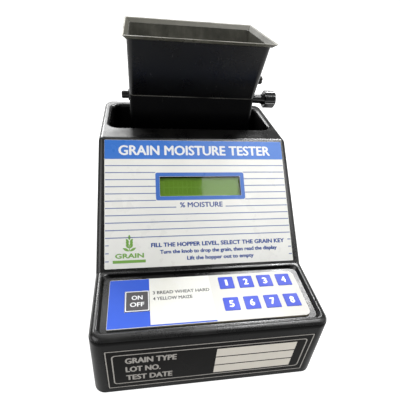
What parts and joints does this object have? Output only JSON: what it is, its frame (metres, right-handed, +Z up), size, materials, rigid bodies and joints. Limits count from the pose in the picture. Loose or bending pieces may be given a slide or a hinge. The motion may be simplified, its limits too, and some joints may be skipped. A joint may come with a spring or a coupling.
{
  "type": "grain moisture meter",
  "caption": "Bench grain moisture meter: black housing with a sloped display panel, membrane keypad, and a lift-out sheet hopper with a knob-turned trap flap over a measuring cell.",
  "frame": {"origin": "centre of the overall footprint, on the surface that the feet stand on", "axes": "+X to the meter's right as its user sees it, +Y from the keypad to the back, +Z up"},
  "size_m": [0.159, 0.218, 0.2008],
  "materials": {
    "housing": "glossy black moulded plastic with fine moulding grain",
    "base": "matte black moulded plastic",
    "steel": "zinc plated",
    "rubber": "soft matte",
    "holder": "matte black moulded plastic",
    "battery": "plain wrapped cell",
    "panel_print": "printed polyester film, satin",
    "window": "clear acrylic pane",
    "bezel": "black pressed metal",
    "lcd": "yellow-green liquid crystal glass",
    "light_guide": "translucent light guide",
    "circuit_board": "green solder mask",
    "film": "clear polyester film",
    "keypad_print": "printed polyester film, satin",
    "key_blue": "embossed blue film key",
    "key_dark": "embossed dark film key",
    "label": "paper sticker",
    "plate": "printed plate, near black with silver lines",
    "hopper_paint": "semi-gloss black paint on folded sheet",
    "bush": "black nylon",
    "dark_steel": "blackened steel",
    "knob": "glossy black moulded plastic",
    "cell": "matte black moulded plastic",
    "brass": "turned brass",
    "components": "electronic components",
    "ribbon": "grey ribbon cable",
    "lead_red": "insulated wire",
    "lead_black": "insulated wire"
  },
  "bodies": {
    "housing": {"housing_shell": "housing", "base_plate": "base", "base_screws": "steel", "rubber_feet": "rubber", "battery_holder": "holder", "battery_cells": "battery", "battery_contacts": "steel", "panel_overlay": "panel_print", "lcd_window": "window", "lcd_bezel": "bezel", "lcd_glass": "lcd", "lcd_backlight": "light_guide", "lcd_board": "circuit_board", "lcd_screws": "steel", "keypad_circuit": "film", "keypad_spacer": "film", "keypad_overlay": "keypad_print", "crop_label": "label", "keypad_tail": "film", "name_plate": "plate", "cell_body": "cell", "electrode_front": "steel", "electrode_rear": "steel", "cell_screws": "steel", "thermistor_probe": "steel", "main_board": "circuit_board", "board_standoffs": "brass", "board_screws": "steel", "board_components": "components", "display_ribbon": "ribbon", "cell_leads": "lead_red", "battery_leads": "lead_black", "dc_jack": "components"},
    "hopper": {"hopper_shell": "hopper_paint", "bush_left": "bush", "bush_right": "bush", "stop_screw": "dark_steel", "stop_lock_nut": "dark_steel"},
    "flap": {"trap_flap": "hopper_paint", "flap_screws": "dark_steel", "flap_shaft": "steel", "shaft_end_cap": "bush", "flap_knob": "knob"},
    "battery_door": {"battery_door": "base"},
    "key_1": {"key_1": "key_blue"},
    "key_2": {"key_2": "key_blue"},
    "key_3": {"key_3": "key_blue"},
    "key_4": {"key_4": "key_blue"},
    "key_5": {"key_5": "key_blue"},
    "key_6": {"key_6": "key_blue"},
    "key_7": {"key_7": "key_blue"},
    "key_8": {"key_8": "key_blue"},
    "key_on_off": {"key_on_off": "key_dark"}
  },
  "joints": [
    {"name": "hopper_lift", "type": "slide", "parent": "housing", "child": "hopper", "axis": [0, 0, 1], "range_m": [0, 0.12]},
    {"name": "flap_turn", "type": "hinge", "parent": "hopper", "child": "flap", "pos_m": [0, 0.0725, 0.146], "axis": [1, 0, 0], "range_deg": [0, 90]},
    {"name": "battery_door_swing", "type": "hinge", "parent": "housing", "child": "battery_door", "pos_m": [0, 0.0414, 0.0036], "axis": [-1, 0, 0], "range_deg": [0, 100]},
    {"name": "key_1_press", "type": "slide", "parent": "housing", "child": "key_1", "axis": [0, 0, -1], "range_m": [0, 0.0003], "stiffness_N_per_m": 3000},
    {"name": "key_2_press", "type": "slide", "parent": "housing", "child": "key_2", "axis": [0, 0, -1], "range_m": [0, 0.0003], "stiffness_N_per_m": 3000},
    {"name": "key_3_press", "type": "slide", "parent": "housing", "child": "key_3", "axis": [0, 0, -1], "range_m": [0, 0.0003], "stiffness_N_per_m": 3000},
    {"name": "key_4_press", "type": "slide", "parent": "housing", "child": "key_4", "axis": [0, 0, -1], "range_m": [0, 0.0003], "stiffness_N_per_m": 3000},
    {"name": "key_5_press", "type": "slide", "parent": "housing", "child": "key_5", "axis": [0, 0, -1], "range_m": [0, 0.0003], "stiffness_N_per_m": 3000},
    {"name": "key_6_press", "type": "slide", "parent": "housing", "child": "key_6", "axis": [0, 0, -1], "range_m": [0, 0.0003], "stiffness_N_per_m": 3000},
    {"name": "key_7_press", "type": "slide", "parent": "housing", "child": "key_7", "axis": [0, 0, -1], "range_m": [0, 0.0003], "stiffness_N_per_m": 3000},
    {"name": "key_8_press", "type": "slide", "parent": "housing", "child": "key_8", "axis": [0, 0, -1], "range_m": [0, 0.0003], "stiffness_N_per_m": 3000},
    {"name": "key_on_off_press", "type": "slide", "parent": "housing", "child": "key_on_off", "axis": [0, 0, -1], "range_m": [0, 0.0003], "stiffness_N_per_m": 3000}
  ]
}
